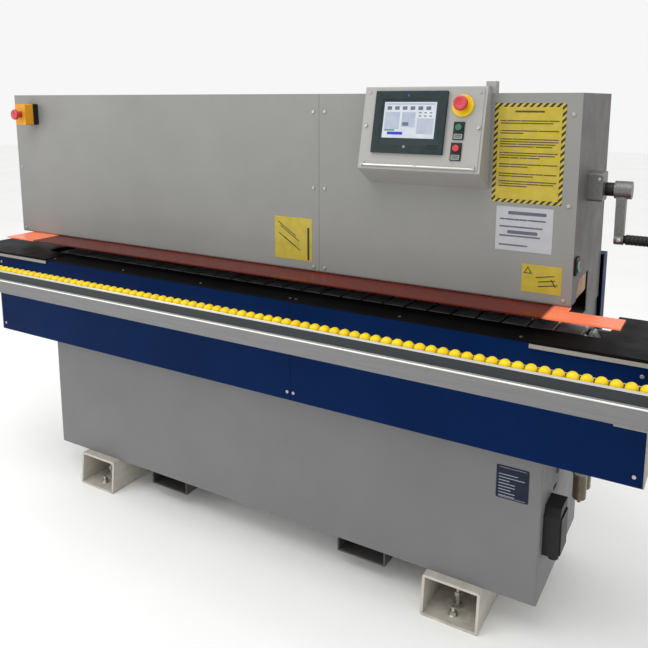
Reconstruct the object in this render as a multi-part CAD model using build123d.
from build123d import *
import math
import os

# Through-feed edge banding machine, compact type.
# +X is the infeed end, where the crank is; +Y is the back; +Z is up.
# The origin is on the floor, at the centre of the four anchor holes in the foot tubes.

# ---------------------------------------------------------------- driving dimensions, mm

# Base cabinet and what carries it
CABINET_LENGTH = 1920.0
CABINET_DEPTH = 500.0
CABINET_TOP = 600.0
CABINET_WALL = 3.0
FOOT_HEIGHT = 125.0
FOOT_WIDTH = 175.0
FOOT_WALL = 8.0
FOOT_REACH = 292.0
FOOT_MITRE = 13.0
FOOT_SPACING = 1450.0
ANCHOR_SPACING_Y = 500.0
ANCHOR_HOLE_R = 7.0
LEVELLER_R = 8.0
LEVELLER_SPACING_Y = 420.0
FORK_SPACING = 810.0
FORK_WIDTH = 170.0
FORK_HEIGHT = 65.0
FORK_WALL = 5.0

# Machine bed
BED_PLATE = 12.0
BED_FRONT = -343.0
BED_BACK = 236.0
BED_LEFT = -1212.5
BED_RIGHT = 1150.0
BED_REAR_RIGHT = 987.5
RIB = 10.0

# Track: a chain of rubber pads that rounds a sprocket at each end
WORK_HEIGHT = 915.0
PAD_PITCH = 70.0
PAD_GAP = 6.0
PAD_THICKNESS = 15.0
PAD_WIDTH = 104.0
TRACK_Y = -184.0
PAD_PLACES = 28
SPROCKET_SIDES = 6
DRIVE_X = -890.0
SHAFT_R = 20.0
GUIDE_WIDTH = 52.0
LUG_HEIGHT = 10.0
LUG_WIDTH = 8.0
LUG_LENGTH = 46.0
LUG_SPREAD = 16.0
SHAFT_STUB = 14.0
SEAT_LENGTH = 24.0
SEAT_DEPTH = 8.0

# Sheet metal and tables
SHEET = 2.5
APRON_SHEET = 3.0
APRON_LEFT = -1152.0
APRON_RIGHT = 1210.0
APRON_BOTTOM = 598.0
SEAM_X = 222.0
SEAM_GAP = 1.0
LEDGE = 6.0
TABLE_THICKNESS = 18.0
TABLE_FRONT = -350.0
TABLE_BACK = -28.0
LEFT_TABLE_X = (-1327.0, -863.0)
RIGHT_TABLE_X = (931.0, 1385.0)

# Hood
HOOD_LEFT = -1215.0
HOOD_RIGHT = 990.0
HOOD_FRONT = -176.0
HOOD_GAP = 47.0
HOOD_HEIGHT = 555.0
LIP_DEPTH = 10.0
BEND_R = 6.0
SHELF_FRONT = -295.0
SHELF_LEFT = -1160.0
SHELF_RIGHT = 1130.0
SHELF_THICKNESS = 4.0
SHELF_END_BACK = -210.0
COVER_RISE = 133.0
COVER_DEPTH = 60.0
COVER_RIGHT = 1000.0

# Control box, a wedge-shaped console on the hood's front
BOX_LEFT = 399.0
BOX_RIGHT = 757.0
BOX_ABOVE_HOOD = 18.0
BOX_TOP_DEPTH = 30.0
BOX_FACE_DROP = 227.0
BOX_EDGE_DEPTH = 80.0
BOX_HEIGHT = 275.0
SCREEN_WIDTH = 213.0
SCREEN_HEIGHT = 173.0
SCREEN_PROUD = 9.0
MUSHROOM_R = 20.0
MUSHROOM_RING_R = 30.0
BUTTON_R = 11.0

# Crank and pressure beam
CRANK_Y = -19.0
CRANK_DROP = 255.0
CRANK_THROW = 134.0
CRANK_SHAFT_R = 10.0
GRIP_LENGTH = 100.0
GRIP_R = 14.0
LIFT_X = 860.0
WHEEL_R = 30.0
WHEEL_WIDTH = 22.0
WHEEL_PITCH = 90.0
WHEEL_COUNT = 22
REST_PANEL = 10.0

# Pull-out panel support with its rollers
ROLLER_R = 14.0
ROLLER_PITCH = 30.0
ROLLER_COUNT = 82
ROLLER_LENGTH = 26.0
ROLLER_CHAMFER = 3.5
ROLLER_Y = -507.0
ROLLER_AXLE_R = 3.0
RAIL_LEFT = -1200.0
RAIL_RIGHT = 1265.0
RAIL_HEIGHT = 46.0
RAIL_DEPTH = 45.0
RAIL_WALL = 4.0
CHANNEL_WALL = 3.0
CHANNEL_HEIGHT = 28.0
ROD_R = 12.0
ROD_XS = (-420.0, 240.0, 760.0)
ROD_BACK = 120.0
BOSS_R = 22.0

# Clearances
RUNNING = 0.05
LOOSE = 1.5
GAP = 0.5

# ------------------------------------------------------------- sizes that follow from them

FLOOR_TO_CABINET = FOOT_HEIGHT
BACK_WALL_Y = (TRACK_Y + PAD_WIDTH / 2 + 10.0, TRACK_Y + PAD_WIDTH / 2 + 22.0)
APOTHEM = PAD_PITCH / 2 / math.tan(math.pi / SPROCKET_SIDES)
CHAIN_TOP = WORK_HEIGHT - PAD_THICKNESS
AXIS_Z = CHAIN_TOP - APOTHEM
CHAIN_BOTTOM = AXIS_Z - APOTHEM
IDLER_X = DRIVE_X + PAD_PITCH * (PAD_PLACES - 1)
SPROCKET_SWEEP = math.hypot(PAD_PITCH / 2, APOTHEM + PAD_THICKNESS)
TABLE_Z = (WORK_HEIGHT - TABLE_THICKNESS, WORK_HEIGHT)
BED_TOP = TABLE_Z[0]
HOOD_LIP = WORK_HEIGHT + HOOD_GAP
HOOD_TOP = HOOD_LIP + HOOD_HEIGHT
COVER_TOP = BED_TOP + COVER_RISE
BOX_TOP = HOOD_TOP + BOX_ABOVE_HOOD
BOX_EDGE_Z = BOX_TOP - BOX_FACE_DROP
BOX_FOOT_Z = BOX_TOP - BOX_HEIGHT
CRANK_Z = HOOD_TOP - CRANK_DROP
PAD_FRONT = TRACK_Y - PAD_WIDTH / 2
LEDGE_Z = (WORK_HEIGHT - 2.0 - LEDGE, WORK_HEIGHT - 2.0)
APRON_Y = (BED_FRONT - APRON_SHEET, BED_FRONT)
WHEEL_Z = WORK_HEIGHT + REST_PANEL + WHEEL_R
RAIL_Y = (ROLLER_Y - 29.0, ROLLER_Y - 29.0 + RAIL_DEPTH)
ROLLER_Z = WORK_HEIGHT - ROLLER_R
CHANNEL_Z = (ROLLER_Z - CHANNEL_HEIGHT, ROLLER_Z)
ROD_Z = CHANNEL_Z[0] - RAIL_HEIGHT + ROD_R
ROLLER_FIRST_X = (RAIL_LEFT + RAIL_RIGHT - ROLLER_PITCH * (ROLLER_COUNT - 1)) / 2
FOOT_XS = (-FOOT_SPACING / 2, FOOT_SPACING / 2)
CABINET_HALF = CABINET_LENGTH / 2


# -------------------------------------------------------------------------------- helpers

def block(x, y, z):
    """A box between two corners, given as (low, high) along each axis."""
    size = (x[1] - x[0], y[1] - y[0], z[1] - z[0])
    middle = ((x[0] + x[1]) / 2, (y[0] + y[1]) / 2, (z[0] + z[1]) / 2)
    return Pos(*middle) * Box(*size)


def about(middle, size):
    """A (low, high) pair of the given size about a middle."""
    return (middle - size / 2, middle + size / 2)


def rod(start, direction, radius, length):
    """A round bar from a start point along a direction."""
    plane = Plane(origin=start, z_dir=direction)
    return plane * Cylinder(radius, length, align=(Align.CENTER, Align.CENTER, Align.MIN))


def ring(start, direction, radius, bore, length):
    """A tube or washer from a start point along a direction."""
    return rod(start, direction, radius, length) - rod(start, direction, bore, length)


def extrude_x(face, x):
    """Extrudes a face that lies in the YZ plane so that it spans two stations along X."""
    solid = extrude(face, amount=x[1] - x[0])
    return Pos(x[0] - solid.bounding_box().min.X, 0, 0) * solid


def profile_x(points, x):
    """Extrudes an outline of (Y, Z) points along X between two stations."""
    return extrude_x(make_face(Plane.YZ * Polyline(*points, close=True)), x)


def bent_sheet(points, x, thickness, radius):
    """A folded sheet: its middle line through (Y, Z) points, extruded along X."""
    flat = trace(FilletPolyline(*points, radius=radius), line_width=thickness)
    return extrude_x(Plane.YZ * flat, x)


def join(pieces):
    """One solid out of touching pieces."""
    total = pieces[0]
    for piece in pieces[1:]:
        total = total + piece
    return total


def save(node, pieces):
    """Writes one sub-part, a solid or a group of separate solids."""
    group = pieces if isinstance(pieces, list) else [pieces]
    solids = [solid for piece in group for solid in piece.solids()]
    shape = solids[0] if len(solids) == 1 else Compound(children=solids)
    shape.label = node
    export_step(shape, f"parts/{node}.step")


os.makedirs("parts", exist_ok=True)


# ---------------------------------------------------------------- base cabinet and its feet

DOOR_X = (-620.0, 180.0)
DOOR_Z = (FLOOR_TO_CABINET + 55.0, CABINET_TOP - 55.0)
DOOR_MARGIN = 20.0
DOOR_SHEET = 3.0
HINGE_R = 8.0
HINGE_PIN_R = 4.0
HINGE_LENGTH = 60.0
HINGE_ZS = (DOOR_Z[0] + 45.0, DOOR_Z[1] - 45.0)
CABINET_BACK = CABINET_DEPTH / 2
HINGE_X = DOOR_X[0] - DOOR_MARGIN - HINGE_R - 2.0
HINGE_Y = CABINET_BACK + HINGE_R + 2.0


def base_cabinet():
    """Folded steel cabinet, open at the back behind its door."""
    outer = block((-CABINET_HALF, CABINET_HALF), (-CABINET_BACK, CABINET_BACK),
                  (FLOOR_TO_CABINET, CABINET_TOP))
    outer = fillet(outer.edges().filter_by(Axis.Z), radius=BEND_R)
    inside = CABINET_HALF - CABINET_WALL
    depth = CABINET_BACK - CABINET_WALL
    cavity = block((-inside, inside), (-depth, depth),
                   (FLOOR_TO_CABINET + CABINET_WALL, CABINET_TOP - CABINET_WALL))
    doorway = block(DOOR_X, (depth - 1.0, CABINET_BACK + 1.0), DOOR_Z)
    slot = block((CABINET_HALF - 5.0, CABINET_HALF + 1.0), about(-90.0, 40.0),
                 about(405.0, 12.0))
    body = outer - cavity - doorway - slot
    for z in HINGE_ZS:
        low = z - HINGE_LENGTH / 2
        half = HINGE_LENGTH / 2 - GAP / 2
        leaf = block((HINGE_X - HINGE_R, HINGE_X), (CABINET_BACK, HINGE_Y), (low, low + half))
        knuckle = rod((HINGE_X, HINGE_Y, low), (0, 0, 1), HINGE_R, half)
        body = body + leaf + knuckle
        body = body - rod((HINGE_X, HINGE_Y, low + 4.0), (0, 0, 1), HINGE_PIN_R + RUNNING, half)
    return body


def rear_door():
    """Sheet door with a folded rim, a bar handle, and the upper hinge knuckles with pins."""
    x = (DOOR_X[0] - DOOR_MARGIN, DOOR_X[1] + DOOR_MARGIN)
    z = (DOOR_Z[0] - DOOR_MARGIN, DOOR_Z[1] + DOOR_MARGIN)
    face = CABINET_BACK + 2.0
    door = block(x, (face, face + DOOR_SHEET), z)
    for side in about((x[0] + x[1]) / 2, x[1] - x[0] - 2 * DOOR_MARGIN - 16.0):
        stiffener = block(about(side, 6.0), (CABINET_BACK - 18.0, face),
                          (DOOR_Z[0] + 12.0, DOOR_Z[1] - 12.0))
        door = door + stiffener
    grip_x = x[1] - 45.0
    middle_z = (z[0] + z[1]) / 2
    for end in about(middle_z, 110.0):
        door = door + rod((grip_x, face + DOOR_SHEET, end), (0, 1, 0), 5.0, 30.0)
    door = door + block(about(grip_x, 12.0), (face + 30.0, face + 38.0), about(middle_z, 130.0))
    for hinge_z in HINGE_ZS:
        low = hinge_z + GAP / 2
        half = HINGE_LENGTH / 2 - GAP / 2
        leaf = block((HINGE_X, x[0] + 1.0), (face, face + DOOR_SHEET), (low, low + half))
        knuckle = rod((HINGE_X, HINGE_Y, low), (0, 0, 1), HINGE_R, half)
        pin_low = hinge_z - HINGE_LENGTH / 2 + 5.0
        pin = rod((HINGE_X, HINGE_Y, pin_low), (0, 0, 1), HINGE_PIN_R, HINGE_LENGTH / 2)
        door = door + leaf + knuckle + pin
    return door


def foot_tube(x):
    """Rectangular tube across the machine, mitred at both ends, bolted to the floor."""
    top = FOOT_REACH - FOOT_MITRE
    inner_top = FOOT_HEIGHT - FOOT_WALL
    outer = profile_x([(-FOOT_REACH, 0), (FOOT_REACH, 0), (top, FOOT_HEIGHT), (-top, FOOT_HEIGHT)],
                      about(x, FOOT_WIDTH))
    outer = fillet(outer.edges().filter_by(lambda e: abs(e.tangent_at(0.5).Y) > 0.99
                                           and e.length > FOOT_REACH), radius=FOOT_WALL)
    bore = block(about(x, FOOT_WIDTH - 2 * FOOT_WALL), (-FOOT_REACH - 1, FOOT_REACH + 1),
                 (FOOT_WALL, inner_top))
    foot = outer - bore
    for y in about(0, ANCHOR_SPACING_Y):
        foot = foot - rod((x, y, -1), (0, 0, 1), ANCHOR_HOLE_R, FOOT_WALL + 2)
    for y in about(0, LEVELLER_SPACING_Y):
        foot = foot - rod((x, y, -1), (0, 0, 1), LEVELLER_R + GAP, FOOT_WALL + 2)
    return foot


def levelling_bolts():
    """A stud with a pad and two nuts in each end of the foot tubes."""
    pieces = []
    for x in FOOT_XS:
        for y in about(0, LEVELLER_SPACING_Y):
            stud = rod((x, y, 0), (0, 0, 1), LEVELLER_R, 78.0)
            nut = Pos(x, y, FOOT_WALL) * extrude(RegularPolygon(13.0, 6), amount=13.0)
            top = Pos(x, y, FOOT_WALL + 38.0) * extrude(RegularPolygon(13.0, 6), amount=13.0)
            pieces.append(stud + nut + top)
    return pieces


def fork_pockets():
    """Two tubes under the cabinet that take the tines of a lift truck."""
    pieces = []
    for x in about(0, FORK_SPACING):
        z = (FOOT_HEIGHT - FORK_HEIGHT, FOOT_HEIGHT)
        y = about(0, CABINET_DEPTH - 48.0)
        outer = block(about(x, FORK_WIDTH), y, z)
        inner = block(about(x, FORK_WIDTH - 2 * FORK_WALL), (y[0] - 1, y[1] + 1),
                      (z[0] + FORK_WALL, z[1] - FORK_WALL))
        pieces.append(outer - inner)
    return pieces


save("base_cabinet", base_cabinet())
save("rear_door", rear_door())
save("foot_tube_left", foot_tube(FOOT_XS[0]))
save("foot_tube_right", foot_tube(FOOT_XS[1]))
save("levelling_bolts", levelling_bolts())
save("fork_pockets", fork_pockets())


# ------------------------------------------------------------- fittings on the cabinet

PLATE = 1.5
DATA_PLATE_X = (CABINET_HALF - 124.0, CABINET_HALF - 35.0)
DATA_PLATE_Z = (420.0, 516.0)
INLET_X = (CABINET_HALF, CABINET_HALF + 44.0)
INLET_Y = (-215.0, -125.0)
INLET_Z = (262.0, 385.0)
FILTER_X = CABINET_HALF + 62.0
FILTER_YS = (-60.0, 8.0)
FILTER_Z = 470.0
FILTER_R = 22.0
BOWL_R = 19.0
BOWL_LENGTH = 80.0
BOWL_WALL = 2.5


def data_plate():
    """Thin rating plate riveted to the cabinet's front."""
    plate = block(DATA_PLATE_X, (-CABINET_BACK - PLATE, -CABINET_BACK), DATA_PLATE_Z)
    return fillet(plate.edges().filter_by(Axis.Y), radius=4.0)


def supply_inlet():
    """Black supply terminal housing with a sloped roof and a cable gland below."""
    back, front = INLET_Y[1], INLET_Y[0]
    outline = [(front, INLET_Z[0]), (back, INLET_Z[0]), (back, INLET_Z[1] + 20.0),
               (front + 18.0, INLET_Z[1] + 20.0), (front, INLET_Z[1] - 4.0)]
    housing = profile_x(outline, INLET_X)
    housing = fillet(housing.edges().filter_by(Axis.X), radius=3.0)
    lid = block((INLET_X[1], INLET_X[1] + 4.0), (front + 8.0, back - 8.0),
                (INLET_Z[0] + 8.0, INLET_Z[1] - 8.0))
    centre = ((INLET_X[0] + INLET_X[1]) / 2, (front + back) / 2)
    gland = rod((centre[0], centre[1], INLET_Z[0] - 26.0), (0, 0, 1), 14.0, 26.0)
    nut = Pos(centre[0], centre[1], INLET_Z[0] - 14.0) * extrude(RegularPolygon(19.0, 6), amount=9.0)
    hollow = rod((centre[0], centre[1], INLET_Z[0] - 27.0), (0, 0, 1), 8.0, 22.0)
    return housing + lid + gland + nut - hollow


def air_unit():
    """Filter and lubricator heads on one bracket, with a gauge."""
    arm = block((CABINET_HALF, FILTER_X - FILTER_R + 4.0), (FILTER_YS[0] - 8, FILTER_YS[1] + 8),
                (FILTER_Z + 14.0, FILTER_Z + 20.0))
    plate = block((CABINET_HALF, CABINET_HALF + 5.0), (FILTER_YS[0] - 16, FILTER_YS[1] + 16),
                  (FILTER_Z - 30.0, FILTER_Z + 30.0))
    unit = arm + plate
    for y in FILTER_YS:
        unit = unit + rod((FILTER_X, y, FILTER_Z - 20.0), (0, 0, 1), FILTER_R, 44.0)
    bridge = rod((FILTER_X, FILTER_YS[0] - 38.0, FILTER_Z), (0, 1, 0), 11.0,
                 FILTER_YS[1] - FILTER_YS[0] + 76.0)
    gauge = rod((FILTER_X + FILTER_R - 4.0, FILTER_YS[0], FILTER_Z), (1, 0, 0), 17.0, 20.0)
    stem = rod((FILTER_X, FILTER_YS[0], FILTER_Z + 24.0), (0, 0, 1), 8.0, 10.0)
    return unit + bridge + gauge + stem


def filter_bowls():
    """Clear bowls hanging from the two heads."""
    bowls = []
    for y in FILTER_YS:
        top = FILTER_Z - 20.0
        bowl = rod((FILTER_X, y, top - BOWL_LENGTH), (0, 0, 1), BOWL_R, BOWL_LENGTH)
        bowl = fillet(bowl.edges().group_by(Axis.Z)[0], radius=8.0)
        cavity = rod((FILTER_X, y, top - BOWL_LENGTH + BOWL_WALL), (0, 0, 1),
                     BOWL_R - BOWL_WALL, BOWL_LENGTH)
        drain = rod((FILTER_X, y, top - BOWL_LENGTH - 9.0), (0, 0, 1), 5.0, 10.0)
        bowls.append(bowl - cavity + drain)
    return bowls


def regulator_knob():
    """Knob that sets the air pressure, turning on the stem of the filter head."""
    low = FILTER_Z + 24.0 + GAP
    knob = rod((FILTER_X, FILTER_YS[0], low), (0, 0, 1), 16.0, 30.0)
    knob = fillet(knob.edges().group_by(Axis.Z)[-1], radius=3.0)
    for turn in range(12):
        angle = math.radians(turn * 30)
        at = (FILTER_X + 17.0 * math.cos(angle), FILTER_YS[0] + 17.0 * math.sin(angle), low - 1)
        knob = knob - rod(at, (0, 0, 1), 2.2, 26.0)
    return knob - rod((FILTER_X, FILTER_YS[0], low - 1), (0, 0, 1), 8.0 + RUNNING, 12.0)


save("data_plate", data_plate())
save("supply_inlet", supply_inlet())
save("air_unit", air_unit())
save("filter_bowls", filter_bowls())
save("regulator_knob", regulator_knob())


# ----------------------------------------------------------------------------- machine bed

GUIDE_Y = about(TRACK_Y, GUIDE_WIDTH)
GUIDE_Z = (AXIS_Z - 50.0, CHAIN_TOP - GAP)
GUIDE_WALL = 6.0
GUIDE_X = (DRIVE_X + PAD_PITCH + 10.0, IDLER_X - PAD_PITCH - 10.0)
BRACKET_XS = (-700.0, -200.0, 60.0, 480.0, 860.0)
RIB_XS = (-1145.0, -760.0, -180.0, 500.0, 1000.0, BED_RIGHT - RIB / 2)
RIB_Y = (BED_FRONT, PAD_FRONT - 10.0)
BEARING_R = 45.0
BEARING_LENGTH = 48.0


def machine_bed():
    """Welded bed: bottom plate, the wall behind the track, a rear box, and ribs in front."""
    bottom = block((-BED_RIGHT, BED_RIGHT), (BED_FRONT, BACK_WALL_Y[1]),
                   (CABINET_TOP, CABINET_TOP + BED_PLATE))
    rear_bottom = block((BED_LEFT, BED_REAR_RIGHT), (BACK_WALL_Y[1] - 1, BED_BACK),
                        (CABINET_TOP, CABINET_TOP + BED_PLATE))
    wall = block((BED_LEFT, BED_RIGHT), BACK_WALL_Y, (CABINET_TOP, BED_TOP))
    rear = block((BED_LEFT, BED_REAR_RIGHT), (BED_BACK - BED_PLATE, BED_BACK),
                 (CABINET_TOP, BED_TOP))
    top = block((BED_LEFT, BED_REAR_RIGHT), (BACK_WALL_Y[0], BED_BACK),
                (BED_TOP - BED_PLATE, BED_TOP))
    bed = join([bottom, rear_bottom, wall, rear, top])
    for x in (BED_LEFT, BED_REAR_RIGHT - RIB):
        bed = bed + block((x, x + RIB), (-40.0, BED_BACK), (CABINET_TOP, BED_TOP))
    for x in RIB_XS:
        bed = bed + block(about(x, RIB), RIB_Y, (CABINET_TOP, BED_TOP))
    for x in ROD_XS:
        web = block(about(x, RIB), RIB_Y, (CABINET_TOP, ROD_Z))
        boss = rod((x, RIB_Y[0], ROD_Z), (0, 1, 0), BOSS_R, RIB_Y[1] - RIB_Y[0])
        bed = bed + web + boss
        bed = bed - rod((x, RIB_Y[0] - 1, ROD_Z), (0, 1, 0), ROD_R + RUNNING, 100.0)
        bed = bed - rod((x, BACK_WALL_Y[0] - 1, ROD_Z), (0, 1, 0), ROD_R + LOOSE, 20.0)
    for x in (DRIVE_X, IDLER_X):
        bed = bed - rod((x, BACK_WALL_Y[0] - 1, AXIS_Z), (0, 1, 0), SHAFT_R + LOOSE, 20.0)
    return bed


def track_guide():
    """Box rail between the two runs of the chain, on brackets from the bed's wall."""
    outer = block(GUIDE_X, GUIDE_Y, GUIDE_Z)
    wall = GUIDE_WALL
    inner = block((GUIDE_X[0] - 1, GUIDE_X[1] + 1), (GUIDE_Y[0] + wall, GUIDE_Y[1] - wall),
                  (GUIDE_Z[0] + wall, GUIDE_Z[1] - wall))
    guide = outer - inner
    for x in ROD_XS:
        guide = guide - rod((x, GUIDE_Y[0] - 1, ROD_Z), (0, 1, 0), ROD_R + LOOSE,
                            GUIDE_WIDTH + 2)
    brackets = [block(about(x, 14.0), (GUIDE_Y[1], BACK_WALL_Y[0]), about(AXIS_Z, 60.0))
                for x in BRACKET_XS]
    return [guide] + brackets


def pad(x, z, up):
    """One rubber pad with its two link lugs, which point to the inside of the loop."""
    body = block(about(x, PAD_PITCH - PAD_GAP), about(TRACK_Y, PAD_WIDTH),
                 (z, z + PAD_THICKNESS) if up else (z - PAD_THICKNESS, z))
    body = chamfer(body.edges().filter_by(Axis.Y), length=2.0)
    for y in about(TRACK_Y, GUIDE_WIDTH + LUG_SPREAD):
        lug_z = (z - LUG_HEIGHT, z + 1.0) if up else (z - 1.0, z + LUG_HEIGHT)
        body = body + block(about(x, LUG_LENGTH), about(y, LUG_WIDTH), lug_z)
    return body


def track_run(z, up):
    """The straight run of pads, without the pad that has just been handed to a sprocket."""
    first = 1 if up else 0
    return [pad(DRIVE_X + PAD_PITCH * (first + i), z, up) for i in range(PAD_PLACES - 1)]


def sprocket(x, side, shaft_end):
    """Wheel on its shaft, with a seat for each of the pads that are rounding the end."""
    turns = (0, 1, 2) if side < 0 else (1, 2, 3)
    wheel = rod((x, GUIDE_Y[0], AXIS_Z), (0, 1, 0), APOTHEM - GAP, GUIDE_WIDTH)
    shaft = rod((x, GUIDE_Y[0] - SHAFT_STUB, AXIS_Z), (0, 1, 0), SHAFT_R,
                shaft_end - GUIDE_Y[0] + SHAFT_STUB)
    wheel = wheel + shaft
    axis = Axis((x, TRACK_Y, AXIS_Z), (0, 1, 0))
    seat = block(about(x, SEAT_LENGTH), GUIDE_Y, (CHAIN_TOP - SEAT_DEPTH, CHAIN_TOP))
    pads = []
    for turn in turns:
        angle = side * turn * 360.0 / SPROCKET_SIDES
        wheel = wheel + seat.rotate(axis, angle)
        pads.append(pad(x, CHAIN_TOP, True).rotate(axis, angle))
    return [wheel] + pads


def sprocket_bearings():
    """Flanged bearing housings on the back of the bed's wall."""
    pieces = []
    for x in (DRIVE_X, IDLER_X):
        body = ring((x, BACK_WALL_Y[1], AXIS_Z), (0, 1, 0), BEARING_R - 12.0,
                    SHAFT_R + RUNNING, BEARING_LENGTH)
        flange = ring((x, BACK_WALL_Y[1], AXIS_Z), (0, 1, 0), BEARING_R,
                      SHAFT_R + RUNNING, 12.0)
        pieces.append(body + flange)
    return pieces


GEARBOX_Y = (0.0, 80.0)
GEARBOX_HALF = 41.0
MOTOR_LENGTH = 190.0


def feed_gearmotor():
    """Right-angle gear unit with a hollow shaft, its motor and its foot."""
    case = block(about(DRIVE_X, 130.0), GEARBOX_Y, about(AXIS_Z, 2 * GEARBOX_HALF))
    case = fillet(case.edges().filter_by(Axis.Y), radius=10.0)
    middle = (GEARBOX_Y[0] + GEARBOX_Y[1]) / 2
    motor = rod((DRIVE_X + 60.0, middle, AXIS_Z), (1, 0, 0), 38.0, MOTOR_LENGTH)
    foot = block(about(DRIVE_X, 60.0), (GEARBOX_Y[0] + 10, GEARBOX_Y[1] - 10),
                 (CABINET_TOP + BED_PLATE, AXIS_Z - GEARBOX_HALF + 2.0))
    bore = rod((DRIVE_X, GEARBOX_Y[0] - 1, AXIS_Z), (0, 1, 0), SHAFT_R + RUNNING, 72.0)
    return case + motor + foot - bore


save("machine_bed", machine_bed())
save("track_guide", track_guide())
save("track_pads_upper", track_run(CHAIN_TOP, True))
save("track_pads_lower", track_run(CHAIN_BOTTOM, False))
save("drive_sprocket", sprocket(DRIVE_X, -1, GEARBOX_Y[0] + 60.0))
save("idler_sprocket", sprocket(IDLER_X, 1, BACK_WALL_Y[1] + BEARING_LENGTH))
save("sprocket_bearings", sprocket_bearings())
save("feed_gearmotor", feed_gearmotor())


# ------------------------------------------------- apron, ledge, end tables and rear cover

TABLE_CUT_Y = PAD_FRONT - 6.0
TRIM = 3.0
TABLE_TRIM = 10.0
SCREW_R = 5.0
SCREW_HEAD = 3.0
SCREW_INSET = 20.0
SEAM_SCREW = 11.0
LEDGE_SCREW_XS = (-840.0, -486.0, -136.0, SEAM_X - SEAM_SCREW, SEAM_X + SEAM_SCREW, 570.0, 904.0)


def table_cut(x_side):
    """The corner of a table that the track's end runs through."""
    if x_side < 0:
        x = (DRIVE_X - SPROCKET_SWEEP - 8.0, LEFT_TABLE_X[1] + 1)
    else:
        x = (RIGHT_TABLE_X[0] - 1, IDLER_X + SPROCKET_SWEEP + 8.0)
    return block(x, (TABLE_CUT_Y, TABLE_BACK + 1), (TABLE_Z[0] - 1, TABLE_Z[1] + 1))


def end_table(x, side):
    """Black worktop plate, notched round the end of the track."""
    table = block(x, (TABLE_FRONT, TABLE_BACK), TABLE_Z)
    table = fillet(table.edges().filter_by(Axis.Z), radius=4.0)
    return table - table_cut(side)


def apron(x):
    """Front sheet below the ledge, lowered under the end tables, with holes for the rods."""
    sheet = block(x, APRON_Y, (APRON_BOTTOM, LEDGE_Z[0]))
    for table in (LEFT_TABLE_X, RIGHT_TABLE_X):
        sheet = sheet - block((table[0], table[1]), (APRON_Y[0] - 1, APRON_Y[1] + 1),
                              (TABLE_Z[0], LEDGE_Z[0] + 1))
    for rod_x in ROD_XS:
        sheet = sheet - rod((rod_x, APRON_Y[0] - 1, ROD_Z), (0, 1, 0), ROD_R + LOOSE, 5.0)
    return sheet


def front_ledge():
    """Black plate in front of the pads, resting on the apron and on the bed's ribs."""
    x = (LEFT_TABLE_X[1], RIGHT_TABLE_X[0])
    plate = block(x, (APRON_Y[0], PAD_FRONT - GAP), LEDGE_Z)
    flange = block(x, (RIB_Y[1] - TRIM, RIB_Y[1]), (BED_TOP, LEDGE_Z[0]))
    return plate + flange


BRACKET_Z = CHANNEL_Z[0] - RAIL_HEIGHT - GAP
REST_WIDTH = 100.0
REST_SHEET = 5.0


def grey_trims():
    """Light grey edge strips: table fronts, apron ends, and the rests under the rail."""
    pieces = []
    for x in (LEFT_TABLE_X, RIGHT_TABLE_X):
        pieces.append(block(x, (TABLE_FRONT - TRIM, TABLE_FRONT), (TABLE_Z[0], TABLE_Z[0] + TABLE_TRIM)))
    for low in (APRON_LEFT - TRIM, APRON_RIGHT):
        pieces.append(block((low, low + TRIM), (APRON_Y[0], RIB_Y[1]), (APRON_BOTTOM, BED_TOP)))
    for x in (APRON_LEFT, APRON_RIGHT):
        rest = block(about(x, REST_WIDTH), (RAIL_Y[0] + 5.0, APRON_Y[0]),
                     (BRACKET_Z - REST_SHEET, BRACKET_Z))
        down = block(about(x, REST_WIDTH), (APRON_Y[0] - REST_SHEET, APRON_Y[0]),
                     (BRACKET_Z - 45.0, BRACKET_Z))
        pieces.append(rest + down)
    return pieces


def rear_cover():
    """Blue sheet box over the back of the bed, open towards it."""
    outer = block((BED_LEFT, COVER_RIGHT), (BED_BACK, BED_BACK + COVER_DEPTH),
                  (CABINET_TOP + 20.0, COVER_TOP))
    outer = fillet(outer.edges().filter_by(Axis.X).group_by(Axis.Y)[-1], radius=BEND_R)
    cavity = block((BED_LEFT + SHEET, COVER_RIGHT - SHEET),
                   (BED_BACK - 1, BED_BACK + COVER_DEPTH - SHEET),
                   (CABINET_TOP + 20.0 + SHEET, COVER_TOP - SHEET))
    return outer - cavity


def button_head(at, direction):
    """Head of a socket screw that holds a cover."""
    head = rod(at, direction, SCREW_R, SCREW_HEAD)
    outer = head.edges().filter_by(GeomType.CIRCLE).sort_by(
        lambda e: Vector(*e.center()).dot(Vector(*direction)))[-1]
    head = fillet(outer, radius=1.5)
    tip = Vector(*at) + Vector(*direction) * (SCREW_HEAD - 1.6)
    return head - rod(tip, direction, 2.0, 3.0)


def cover_screws():
    """Screws of the hood's front covers and of the apron, and flush ones in the ledge."""
    spots = []
    heights = (HOOD_LIP + 16.0, (HOOD_LIP + HOOD_TOP) / 2 - 10.0, HOOD_TOP - 54.0)
    columns = (HOOD_LEFT + SCREW_INSET, SEAM_X - SCREW_INSET, SEAM_X + SCREW_INSET,
               HOOD_RIGHT - SCREW_INSET)
    for x in columns:
        for z in heights:
            spots.append(((x, HOOD_FRONT, z), (0, -1, 0)))
    rows = (APRON_BOTTOM + 26.0, TABLE_Z[0] - 24.0)
    for x in (APRON_LEFT + SCREW_INSET, APRON_RIGHT - SCREW_INSET):
        for z in rows:
            spots.append(((x, APRON_Y[0], z), (0, -1, 0)))
    for x in (SEAM_X - SEAM_SCREW, SEAM_X + SEAM_SCREW):
        spots.append(((x, APRON_Y[0], rows[0]), (0, -1, 0)))
    heads = [button_head(at, direction) for at, direction in spots]
    flush = [rod((x, APRON_Y[0] + SCREW_INSET, LEDGE_Z[1]), (0, 0, 1), SCREW_R - 1.0, 1.5)
             for x in LEDGE_SCREW_XS]
    return heads + flush


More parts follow.
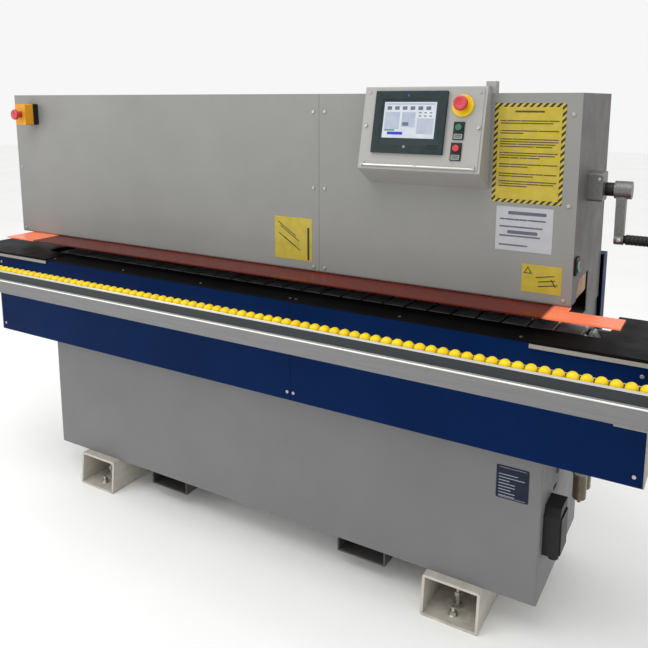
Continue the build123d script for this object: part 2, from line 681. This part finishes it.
save("apron_left", apron((APRON_LEFT, SEAM_X - SEAM_GAP / 2)))
save("apron_right", apron((SEAM_X + SEAM_GAP / 2, APRON_RIGHT)))
save("front_ledge", front_ledge())
save("end_table_left", end_table(LEFT_TABLE_X, -1))
save("end_table_right", end_table(RIGHT_TABLE_X, 1))
save("grey_trims", grey_trims())
save("rear_cover", rear_cover())
save("cover_screws", cover_screws())


# -------------------------------------------------------------------------------- the hood

END_NOTCH_Y = (-112.0, 40.0)
END_NOTCH_Z = HOOD_LIP + 58.0
HOOD_BACK = BED_BACK
SPIGOT_R = 60.0
SPIGOT_WALL = 2.0
SPIGOT_LENGTH = 70.0
SPIGOT_XS = (-700.0, 420.0)
SPIGOT_Z = HOOD_TOP - 217.0


def hood_front(x):
    """One front cover: a sheet with a rolled lip along its lower edge."""
    half = SHEET / 2
    line = [(HOOD_FRONT + half, HOOD_TOP), (HOOD_FRONT + half, HOOD_LIP + half),
            (HOOD_FRONT + LIP_DEPTH, HOOD_LIP + half)]
    return bent_sheet(line, x, SHEET, BEND_R)


def hood_shell():
    """Top and back of the hood in one folded sheet, with holes for the dust spigots."""
    half = SHEET / 2
    line = [(HOOD_FRONT + SHEET + half, HOOD_TOP - 22.0), (HOOD_FRONT + SHEET + half, HOOD_TOP - half),
            (HOOD_BACK - half, HOOD_TOP - half), (HOOD_BACK - half, BED_TOP)]
    shell = bent_sheet(line, (HOOD_LEFT + SHEET, HOOD_RIGHT - SHEET), SHEET, BEND_R)
    for x in SPIGOT_XS:
        shell = shell - rod((x, HOOD_BACK - 5, SPIGOT_Z), (0, 1, 0), SPIGOT_R, 10.0)
    return shell


def hood_end(x):
    """End plate of the hood, notched where the panel's edge comes through."""
    front = HOOD_FRONT + SHEET
    lip_back = HOOD_FRONT + LIP_DEPTH + 1.0
    outline = [(front, HOOD_LIP + LIP_DEPTH + 4.0), (lip_back, HOOD_LIP + SHEET + 1.0),
               (END_NOTCH_Y[0], HOOD_LIP + SHEET + 1.0), (END_NOTCH_Y[0], END_NOTCH_Z - 40.0),
               (END_NOTCH_Y[0] + 30.0, END_NOTCH_Z), (END_NOTCH_Y[1], END_NOTCH_Z),
               (END_NOTCH_Y[1], BED_TOP), (HOOD_BACK, BED_TOP), (HOOD_BACK, HOOD_TOP),
               (front, HOOD_TOP)]
    plate = profile_x(outline, x)
    hole = rod((x[0] - 1, CRANK_Y, CRANK_Z), (1, 0, 0), CRANK_SHAFT_R + LOOSE, SHEET + 2)
    return plate - hole if x[0] > 0 else plate


def guard_shelf():
    """Translucent orange guard along the panel gap, under the hood's lip."""
    z = (HOOD_LIP - SHELF_THICKNESS, HOOD_LIP)
    shelf = block((SHELF_LEFT, SHELF_RIGHT), (SHELF_FRONT, HOOD_FRONT + 8.0), z)
    return shelf - block((HOOD_RIGHT, SHELF_RIGHT + 1), (SHELF_END_BACK, HOOD_FRONT + 9.0),
                         (z[0] - 1, z[1] + 1))


def dust_spigots():
    """Flanged spigots on the back for the extraction hoses."""
    pieces = []
    for x in SPIGOT_XS:
        tube = ring((x, HOOD_BACK, SPIGOT_Z), (0, 1, 0), SPIGOT_R, SPIGOT_R - SPIGOT_WALL,
                    SPIGOT_LENGTH)
        flange = ring((x, HOOD_BACK, SPIGOT_Z), (0, 1, 0), SPIGOT_R + 20.0,
                      SPIGOT_R - SPIGOT_WALL, 2.0)
        pieces.append(tube + flange)
    return pieces


save("hood_front_left", hood_front((HOOD_LEFT, SEAM_X - SEAM_GAP / 2)))
save("hood_front_right", hood_front((SEAM_X + SEAM_GAP / 2, HOOD_RIGHT)))
save("hood_shell", hood_shell())
save("hood_end_left", hood_end((HOOD_LEFT, HOOD_LEFT + SHEET)))
save("hood_end_right", hood_end((HOOD_RIGHT - SHEET, HOOD_RIGHT)))
save("guard_shelf", guard_shelf())
save("dust_spigots", dust_spigots())


# ------------------------------------------------------- units inside the hood, with guesses

BEAM_Y = (80.0, 160.0)
BEAM_Z = (BED_TOP, HOOD_TOP - 217.0)
BEAM_WALL = 8.0
BEAM_X = (-1150.0, 930.0)
PRESS_BEAM_Y = (-160.0, -112.0)
PRESS_BEAM_Z = (WHEEL_Z + 50.0, WHEEL_Z + 110.0)
PRESS_BEAM_X = (-1150.0, 900.0)
GLUE_X = 560.0
GLUE_ROLLER_R = 22.0
UNIT_Y = -100.0
SAW_X = -60.0
SAW_R = 55.0
POST_X = PRESS_BEAM_X[0] + 40.0
POST_R = 12.0
POST_ARM_Z = (BEAM_Z[1] - 100.0, BEAM_Z[1] - 80.0)
LIFT_BRACKET_Z = (BEAM_Z[1] - 120.0, BEAM_Z[1] - 105.0)
NUT_LENGTH = 50.0
NUT_HALF = 25.0
AXLE_R = 5.0
LIFT_SCREW_R = 9.0
BEVEL_NEAR = 14.0
BEVEL_FAR = 30.0


def unit_beam():
    """Box beam on the bed that the working units and the lift bracket bolt to."""
    outer = block(BEAM_X, BEAM_Y, BEAM_Z)
    wall = BEAM_WALL
    inner = block((BEAM_X[0] - 1, BEAM_X[1] + 1), (BEAM_Y[0] + wall, BEAM_Y[1] - wall),
                  (BEAM_Z[0] + wall, BEAM_Z[1] - wall))
    bracket = block(about(LIFT_X, NUT_LENGTH), (CRANK_Y - NUT_HALF, BEAM_Y[0]), LIFT_BRACKET_Z)
    cut = rod((LIFT_X, CRANK_Y, LIFT_BRACKET_Z[0] - 1), (0, 0, 1), LIFT_SCREW_R + RUNNING, 17.0)
    arm = block(about(POST_X, 40.0), (CRANK_Y - 16.0, BEAM_Y[0]), POST_ARM_Z)
    guide_post = rod((POST_X, CRANK_Y, WORK_HEIGHT), (0, 0, 1), POST_R,
                     POST_ARM_Z[0] - WORK_HEIGHT)
    return [outer - inner, bracket - cut, arm, guide_post]


def pressure_beam():
    """Beam over the track with a hanger and an axle for each wheel, and its two sliders."""
    outer = block(PRESS_BEAM_X, PRESS_BEAM_Y, PRESS_BEAM_Z)
    inner = block((PRESS_BEAM_X[0] - 1, PRESS_BEAM_X[1] + 1),
                  (PRESS_BEAM_Y[0] + 5, PRESS_BEAM_Y[1] - 5),
                  (PRESS_BEAM_Z[0] + 5, PRESS_BEAM_Z[1] - 5))
    hanger_y = (WHEEL_Y[1] + 2.0, WHEEL_Y[1] + 8.0)
    pieces = [outer - inner]
    for x in WHEEL_XS:
        hanger = block(about(x, 24.0), hanger_y, (WHEEL_Z - 10.0, PRESS_BEAM_Z[0]))
        axle = rod((x, WHEEL_Y[0], WHEEL_Z), (0, 1, 0), AXLE_R, WHEEL_WIDTH + 4.0)
        pieces.append(hanger + axle)
    for x, radius in ((LIFT_X, LIFT_SCREW_R), (POST_X, POST_R)):
        slider = block(about(x, NUT_LENGTH), (PRESS_BEAM_Y[1], CRANK_Y + NUT_HALF), PRESS_BEAM_Z)
        hole = rod((x, CRANK_Y, PRESS_BEAM_Z[0] - 1), (0, 0, 1), radius + RUNNING, 70.0)
        pieces.append(slider - hole)
    return pieces


WHEEL_Y = (HOOD_FRONT + LIP_DEPTH + 5.0, HOOD_FRONT + LIP_DEPTH + 5.0 + WHEEL_WIDTH)
WHEEL_XS = [PRESS_BEAM_X[1] - 50.0 - WHEEL_PITCH * i for i in range(WHEEL_COUNT)]


def pressure_wheels():
    """Rubber wheels that hold the panel down on the track."""
    return [ring((x, WHEEL_Y[0], WHEEL_Z), (0, 1, 0), WHEEL_R, AXLE_R + RUNNING, WHEEL_WIDTH)
            for x in WHEEL_XS]


def bevel(at, direction):
    """A 45 degree bevel wheel whose apex is where the two shafts' axes cross."""
    length = BEVEL_FAR - BEVEL_NEAR
    plane = Plane(origin=Vector(*at) + Vector(*direction) * BEVEL_NEAR, z_dir=direction)
    return plane * Cone(BEVEL_NEAR - 2 * GAP, BEVEL_FAR - 2 * GAP, length,
                        align=(Align.CENTER, Align.CENTER, Align.MIN))


def lift_screw():
    """Vertical screw that raises the pressure beam, with its bevel wheel on top."""
    low = PRESS_BEAM_Z[0] - 8.0
    shaft = rod((LIFT_X, CRANK_Y, low), (0, 0, 1), LIFT_SCREW_R, CRANK_Z - BEVEL_FAR + 4.0 - low)
    collar_z = LIFT_BRACKET_Z[1] + GAP
    collar = rod((LIFT_X, CRANK_Y, collar_z), (0, 0, 1), 16.0, 12.0)
    return shaft + collar + bevel((LIFT_X, CRANK_Y, CRANK_Z), (0, 0, -1))


GEARBOX_X = (HOOD_RIGHT, HOOD_RIGHT + 40.0)
NECK_LENGTH = 24.0
HUB_END = GEARBOX_X[1] + 69.0
HUB_R = 24.0
ARM_X = (GEARBOX_X[1] + 32.0, GEARBOX_X[1] + 56.0)
PIN_R = 5.0


def crank_gearbox():
    """Cast bearing block for the crank shaft on the hood's end plate."""
    case = block(GEARBOX_X, about(CRANK_Y, 72.0), about(CRANK_Z + 7.0, 78.0))
    case = fillet(case.edges().filter_by(Axis.X), radius=8.0)
    neck = rod((GEARBOX_X[1], CRANK_Y, CRANK_Z), (1, 0, 0), 17.0, NECK_LENGTH)
    bore = rod((GEARBOX_X[0] - 1, CRANK_Y, CRANK_Z), (1, 0, 0), CRANK_SHAFT_R + RUNNING, 80.0)
    return case + neck - bore


def crank():
    """Shaft, hub, tapered arm and grip pin in one piece, with the bevel pinion inside."""
    start = LIFT_X + BEVEL_FAR - 4.0
    shaft = rod((start, CRANK_Y, CRANK_Z), (1, 0, 0), CRANK_SHAFT_R, ARM_X[0] + 4.0 - start)
    hub = rod((ARM_X[0] - 6.0, CRANK_Y, CRANK_Z), (1, 0, 0), HUB_R, HUB_END - ARM_X[0] + 6.0)
    low = CRANK_Z - CRANK_THROW
    outline = [(CRANK_Y - 17.0, CRANK_Z), (CRANK_Y + 17.0, CRANK_Z), (CRANK_Y + 12.0, low),
               (CRANK_Y - 12.0, low)]
    arm = profile_x(outline, ARM_X)
    eye = rod((ARM_X[0], CRANK_Y, low), (1, 0, 0), 15.0, ARM_X[1] - ARM_X[0])
    pin = rod((ARM_X[1] - 1.0, CRANK_Y, low), (1, 0, 0), PIN_R, GRIP_LENGTH - 10.0)
    return join([shaft, hub, arm, eye, pin, bevel((LIFT_X, CRANK_Y, CRANK_Z), (1, 0, 0))])


def crank_grip():
    """Grip that spins on the crank's pin."""
    at = (ARM_X[1] + GAP, CRANK_Y, CRANK_Z - CRANK_THROW)
    grip = rod(at, (1, 0, 0), GRIP_R, GRIP_LENGTH)
    grip = fillet(grip.edges().filter_by(GeomType.CIRCLE), radius=3.0)
    return grip - rod((at[0] - 1, at[1], at[2]), (1, 0, 0), PIN_R + RUNNING, GRIP_LENGTH - 4.0)


def glue_pot():
    """Heated glue tank on the beam, with a fork that holds the glue roller."""
    tank = block(about(GLUE_X + 85.0, 130.0), (UNIT_Y + 30.0, BEAM_Y[0]),
                 (BED_TOP + 60.0, BED_TOP + 250.0))
    fork_x = (GLUE_X - 40.0, GLUE_X + 10.0)
    fork = []
    for z in (BED_TOP + 80.0, BED_TOP + 190.0):
        fork.append(block(fork_x, (UNIT_Y - 12.0, BEAM_Y[0]), (z, z + 14.0)))
    frame = block(fork_x, (20.0, BEAM_Y[0]), (BED_TOP + 80.0, BED_TOP + 204.0))
    tank = join([tank] + fork + [frame])
    cut = rod((GLUE_X - 10.0, UNIT_Y + 14.0, BED_TOP + 70.0), (0, 0, 1), 6.0 + RUNNING, 140.0)
    return tank - cut


def glue_roller():
    """Upright roller that spreads glue on the panel's edge."""
    axis = (GLUE_X - 10.0, UNIT_Y + 14.0)
    low = BED_TOP + 94.0 + GAP
    body = rod((axis[0], axis[1], low), (0, 0, 1), GLUE_ROLLER_R, 96.0 - 2 * GAP)
    journal = rod((axis[0], axis[1], BED_TOP + 82.0), (0, 0, 1), 6.0, 120.0)
    return body + journal


def trim_motors():
    """End-trim, trimming and buffing motors on their brackets."""
    pieces = []
    for x in (SAW_X, -380.0, -620.0, -900.0):
        bracket = block(about(x, 90.0), (10.0, BEAM_Y[0]), (BED_TOP + 160.0, BED_TOP + 180.0))
        case = rod((x, -10.0, BED_TOP + 180.0), (0, 0, 1), 46.0, 150.0)
        fan = rod((x, -10.0, BED_TOP + 330.0), (0, 0, 1), 40.0, 16.0)
        plate = block(about(x, 96.0), (-58.0, 40.0), (BED_TOP + 160.0, BED_TOP + 182.0))
        unit = join([bracket, plate, case, fan])
        if x == SAW_X:
            unit = unit - rod((x, -10.0, BED_TOP + 150.0), (0, 0, 1), 8.0 + RUNNING, 60.0)
        else:
            unit = unit + rod((x, -10.0, BED_TOP + 110.0), (0, 0, 1), 22.0, 52.0)
        pieces.append(unit)
    return pieces


def end_trim_saw():
    """Saw blade on its arbor, which squares the ends of the edge band."""
    at = (SAW_X, -10.0)
    blade = rod((at[0], at[1], BED_TOP + 122.0), (0, 0, 1), SAW_R, 3.0)
    for turn in range(24):
        angle = math.radians(turn * 15)
        gullet = (at[0] + SAW_R * math.cos(angle), at[1] + SAW_R * math.sin(angle), BED_TOP + 120.0)
        blade = blade - rod(gullet, (0, 0, 1), 3.5, 8.0)
    arbor = rod((at[0], at[1], BED_TOP + 118.0), (0, 0, 1), 8.0, 80.0)
    flange = rod((at[0], at[1], BED_TOP + 116.0), (0, 0, 1), 20.0, 18.0)
    return join([blade, flange, arbor])


save("unit_beam", unit_beam())
save("pressure_beam", pressure_beam())
save("pressure_wheels", pressure_wheels())
save("lift_screw", lift_screw())
save("crank_gearbox", crank_gearbox())
save("crank", crank())
save("crank_grip", crank_grip())
save("glue_pot", glue_pot())
save("glue_roller", glue_roller())
save("trim_motors", trim_motors())
save("end_trim_saw", end_trim_saw())


# ------------------------------------------------------- control box, screen and buttons

BOX_X = (BOX_LEFT, BOX_RIGHT)
EDGE_Y = HOOD_FRONT - BOX_EDGE_DEPTH
TOP_Y = HOOD_FRONT - BOX_TOP_DEPTH
SLANT = math.atan2(TOP_Y - EDGE_Y, BOX_TOP - BOX_EDGE_Z)
SLANT_LENGTH = math.hypot(TOP_Y - EDGE_Y, BOX_TOP - BOX_EDGE_Z)
NORMAL = (0.0, -math.cos(SLANT), math.sin(SLANT))
BOX_MIDDLE = ((BOX_LEFT + BOX_RIGHT) / 2, (EDGE_Y + TOP_Y) / 2, (BOX_EDGE_Z + BOX_TOP) / 2)
PANEL = Plane(origin=BOX_MIDDLE, x_dir=(1, 0, 0), z_dir=NORMAL)
PANEL_SHEET = 2.0
PANEL_MARGIN = 7.0
SCREEN_U = -33.0
SCREEN_V = 16.0
MUSHROOM_UV = (117.0, 63.0)
START_UV = (112.0, 5.0)
STOP_UV = (110.0, -51.0)
LEGEND_DROP = 24.0
LEGEND = (30.0, 15.0)
SIDE_BOX_X = (-1134.0, -1075.0)
SIDE_BOX_Z = (HOOD_TOP - 115.0, HOOD_TOP - 34.0)
SIDE_BASE_DEPTH = 24.0
SIDE_BOX_DEPTH = 60.0
SWITCH_Y = (-163.0, -123.0)
SWITCH_Z = (HOOD_LIP + 83.0, HOOD_LIP + 130.0)
SWITCH_DEPTH = 7.0
SWITCH_RIM = 7.0
PIVOT_X = HOOD_RIGHT + 5.3
PIVOT_R = 1.4


def control_box():
    """Folded wedge housing, open at the front under its panel."""
    outline = [(HOOD_FRONT, BOX_FOOT_Z), (EDGE_Y, BOX_EDGE_Z), (TOP_Y, BOX_TOP),
               (HOOD_FRONT, BOX_TOP)]
    shell = profile_x(outline, BOX_X)
    shell = fillet(shell.edges().filter_by(Axis.X).sort_by(Axis.Y)[:2], radius=4.0)
    wall = SHEET
    cavity = profile_x([(HOOD_FRONT - wall, BOX_FOOT_Z + 14.0), (EDGE_Y + 2 * wall, BOX_EDGE_Z + 6.0),
                        (TOP_Y + wall, BOX_TOP - wall), (HOOD_FRONT - wall, BOX_TOP - wall)],
                       (BOX_LEFT + wall, BOX_RIGHT - wall))
    window = PANEL * Pos(SCREEN_U, SCREEN_V, 0) * Box(SCREEN_WIDTH - 16, SCREEN_HEIGHT - 16, 30)
    shell = shell - cavity - window
    for u, v, r in ((*MUSHROOM_UV, 12.0), (*START_UV, BUTTON_R), (*STOP_UV, BUTTON_R)):
        shell = shell - PANEL * Pos(u, v, 0) * Cylinder(r, 60)
    hanger = block((BOX_RIGHT - 16.0, BOX_RIGHT + 11.0), (HOOD_FRONT, HOOD_FRONT + 26.0),
                   (HOOD_TOP, BOX_TOP + 13.0))
    tie = block((BOX_LEFT + 20.0, BOX_RIGHT), (HOOD_FRONT - 2.0, HOOD_FRONT + 26.0),
                (HOOD_TOP, HOOD_TOP + SHEET))
    return shell + hanger + tie


def control_panel():
    """Screwed panel with its cut-outs for the screen and the buttons."""
    height = SLANT_LENGTH - 2 * PANEL_MARGIN
    width = BOX_RIGHT - BOX_LEFT - 2 * PANEL_MARGIN
    plate = Pos(0, 0, PANEL_SHEET / 2) * Box(width, height, PANEL_SHEET)
    plate = fillet(plate.edges().filter_by(Axis.Z), radius=5.0)
    plate = plate - Pos(SCREEN_U, SCREEN_V, 0) * Box(SCREEN_WIDTH - 16, SCREEN_HEIGHT - 16, 30)
    for u, v, r in ((*MUSHROOM_UV, 12.0), (*START_UV, BUTTON_R), (*STOP_UV, BUTTON_R)):
        plate = plate - Pos(u, v, 0) * Cylinder(r, 60)
    for u in about(0, width - 20.0):
        for v in about(0, height - 20.0):
            plate = plate + Pos(u, v, PANEL_SHEET + 1.0) * Cylinder(4.0, 2.0)
    return PANEL * plate


def touch_screen():
    """Operator screen: a bezel in front of the panel and its case behind."""
    bezel = Pos(SCREEN_U, SCREEN_V, PANEL_SHEET + SCREEN_PROUD / 2) * Box(
        SCREEN_WIDTH, SCREEN_HEIGHT, SCREEN_PROUD)
    bezel = fillet(bezel.edges().filter_by(Axis.Z), radius=5.0)
    case = Pos(SCREEN_U, SCREEN_V, PANEL_SHEET - 6.0) * Box(SCREEN_WIDTH - 18, SCREEN_HEIGHT - 18, 12)
    return PANEL * (bezel + case)


def mushroom(plane):
    """Red mushroom head on a stem, above a collar, before its push travel."""
    stem = Pos(0, 0, -14) * Cylinder(9.0, 30.0, align=(Align.CENTER, Align.CENTER, Align.MIN))
    neck = Pos(0, 0, 12) * Cylinder(14.0, 6.0, align=(Align.CENTER, Align.CENTER, Align.MIN))
    head = Pos(0, 0, 16) * Cylinder(MUSHROOM_R, 14.0, align=(Align.CENTER, Align.CENTER, Align.MIN))
    head = fillet(head.edges().group_by(Axis.Z)[-1], radius=6.0)
    head = fillet(head.edges().group_by(Axis.Z)[0], radius=1.5)
    return plane * (stem + neck + head)


def collar(plane, radius, height, bore):
    """Ring on a panel with a threaded sleeve through it."""
    flange = Cylinder(radius, height, align=(Align.CENTER, Align.CENTER, Align.MIN))
    flange = fillet(flange.edges().group_by(Axis.Z)[-1], radius=height / 3)
    hole = Pos(0, 0, -1) * Cylinder(bore, height + 2, align=(Align.CENTER, Align.CENTER, Align.MIN))
    return plane * (flange - hole)


def push_button(plane):
    """Flush round button in its ring, with a stem behind."""
    cap = Pos(0, 0, 1) * Cylinder(9.0, 7.0, align=(Align.CENTER, Align.CENTER, Align.MIN))
    cap = fillet(cap.edges().group_by(Axis.Z)[-1], radius=1.5)
    stem = Pos(0, 0, -14) * Cylinder(6.0, 16.0, align=(Align.CENTER, Align.CENTER, Align.MIN))
    return plane * (cap + stem)


def on_panel(uv):
    """A plane on the panel's face at a place given along it."""
    return PANEL * Pos(uv[0], uv[1], PANEL_SHEET)


SIDE_X = (SIDE_BOX_X[0] + SIDE_BOX_X[1]) / 2
SIDE_Z = (SIDE_BOX_Z[0] + SIDE_BOX_Z[1]) / 2
SIDE_FACE = Plane(origin=(SIDE_X, HOOD_FRONT - SIDE_BOX_DEPTH, SIDE_Z), x_dir=(1, 0, 0),
                  z_dir=(0, -1, 0))


def stop_housings():
    """Yellow parts: the ring round the main stop and the side station's cover."""
    cover = block(SIDE_BOX_X, (HOOD_FRONT - SIDE_BOX_DEPTH, HOOD_FRONT - SIDE_BASE_DEPTH), SIDE_BOX_Z)
    cover = fillet(cover.edges().filter_by(Axis.Y), radius=5.0)
    bore = rod((SIDE_X, HOOD_FRONT - SIDE_BOX_DEPTH - 1, SIDE_Z), (0, 1, 0), 12.0, 62.0)
    return [collar(on_panel(MUSHROOM_UV), MUSHROOM_RING_R, 6.0, 12.0), cover - bore]


def button_plates():
    """Black parts: the side station's base, button rings, legends and the switch frame."""
    base = block(SIDE_BOX_X, (HOOD_FRONT - SIDE_BASE_DEPTH, HOOD_FRONT), SIDE_BOX_Z)
    base = fillet(base.edges().filter_by(Axis.Y), radius=5.0)
    pieces = [base]
    for uv in (START_UV, STOP_UV):
        pieces.append(collar(on_panel(uv), 14.0, 4.0, 9.0 + GAP))
        legend = Pos(0, -LEGEND_DROP, 0.75) * Box(LEGEND[0], LEGEND[1], 1.5)
        pieces.append(on_panel(uv) * legend)
    frame = block((HOOD_RIGHT, HOOD_RIGHT + SWITCH_DEPTH), SWITCH_Y, SWITCH_Z)
    frame = fillet(frame.edges().filter_by(Axis.X), radius=3.0)
    rim = SWITCH_RIM
    window = block((HOOD_RIGHT + 1.5, HOOD_RIGHT + SWITCH_DEPTH + 1),
                   (SWITCH_Y[0] + rim, SWITCH_Y[1] - rim), (SWITCH_Z[0] + rim, SWITCH_Z[1] - rim))
    pivot = rod((PIVOT_X, SWITCH_Y[0] + rim - 1, sum(SWITCH_Z) / 2), (0, 1, 0), PIVOT_R,
                SWITCH_Y[1] - SWITCH_Y[0] - 2 * rim + 2)
    pieces.append(frame - window + pivot)
    return pieces


def side_switch():
    """Green rocker on the pivot in the frame on the hood's end."""
    middle = (SWITCH_Z[0] + SWITCH_Z[1]) / 2
    half = (SWITCH_Z[1] - SWITCH_Z[0]) / 2 - 9.0
    outline = [(middle - half, HOOD_RIGHT + 3.2), (middle + half, HOOD_RIGHT + 3.2),
               (middle + half, HOOD_RIGHT + 9.0), (middle, HOOD_RIGHT + 7.5),
               (middle - half, HOOD_RIGHT + 12.0)]
    width = SWITCH_Y[1] - SWITCH_Y[0] - 16.0
    flat = Plane(origin=(0, SWITCH_Y[0] + 8.0, 0), x_dir=(0, 0, 1), z_dir=(0, 1, 0))
    rocker = extrude(make_face(flat * Polyline(*outline, close=True)), amount=width)
    return rocker - rod((PIVOT_X, SWITCH_Y[0], middle), (0, 1, 0), PIVOT_R + RUNNING,
                        SWITCH_Y[1] - SWITCH_Y[0])


save("control_box", control_box())
save("control_panel", control_panel())
save("touch_screen", touch_screen())
save("stop_housings", stop_housings())
save("button_plates", button_plates())
save("emergency_button", mushroom(on_panel(MUSHROOM_UV)))
save("side_emergency_button", mushroom(SIDE_FACE))
save("start_button", push_button(on_panel(START_UV)))
save("stop_button", push_button(on_panel(STOP_UV)))
save("side_switch", side_switch())


# ------------------------------------------------------- pull-out panel support

ROLLER_XS = [ROLLER_FIRST_X + ROLLER_PITCH * i for i in range(ROLLER_COUNT)]


def support_rail():
    """Rectangular aluminium tube that carries the roller channel, on its guide rods."""
    z = (CHANNEL_Z[0] - RAIL_HEIGHT, CHANNEL_Z[0])
    tube = block((RAIL_LEFT, RAIL_RIGHT), RAIL_Y, z)
    tube = fillet(tube.edges().filter_by(Axis.X), radius=2.0)
    inner = block((RAIL_LEFT - 1, RAIL_RIGHT + 1), (RAIL_Y[0] + RAIL_WALL, RAIL_Y[1] - RAIL_WALL),
                  (z[0] + RAIL_WALL, z[1] - RAIL_WALL))
    return tube - inner


def support_rods():
    """Steel rods that slide in the bed's bosses."""
    return [rod((x, RAIL_Y[1], ROD_Z), (0, 1, 0), ROD_R, ROD_BACK - RAIL_Y[1]) for x in ROD_XS]


def roller_channel():
    """U channel with an axle across it for each roller."""
    half = ROLLER_LENGTH / 2 + 1.0
    outer_y = (ROLLER_Y - half - CHANNEL_WALL, ROLLER_Y + half + CHANNEL_WALL)
    outer = block((RAIL_LEFT, RAIL_RIGHT), outer_y, CHANNEL_Z)
    inner = block((RAIL_LEFT - 1, RAIL_RIGHT + 1), (ROLLER_Y - half, ROLLER_Y + half),
                  (CHANNEL_Z[0] + CHANNEL_WALL, CHANNEL_Z[1] + 1))
    axles = [rod((x, outer_y[0] + 1.0, ROLLER_Z), (0, 1, 0), ROLLER_AXLE_R,
                 outer_y[1] - outer_y[0] - 2.0) for x in ROLLER_XS]
    return [outer - inner - axles] + axles


def panel_roller(x):
    """One yellow roller, turned down at both ends."""
    roller = rod((x, ROLLER_Y - ROLLER_LENGTH / 2, ROLLER_Z), (0, 1, 0), ROLLER_R, ROLLER_LENGTH)
    roller = chamfer(roller.edges().filter_by(GeomType.CIRCLE), length=ROLLER_CHAMFER)
    return roller - rod((x, ROLLER_Y - ROLLER_LENGTH, ROLLER_Z), (0, 1, 0),
                        ROLLER_AXLE_R + RUNNING, 2 * ROLLER_LENGTH)


save("support_rail", support_rail())
save("support_rods", support_rods())
save("roller_channel", roller_channel())
save("panel_rollers", [panel_roller(x) for x in ROLLER_XS[:-1]])
save("end_roller", panel_roller(ROLLER_XS[-1]))
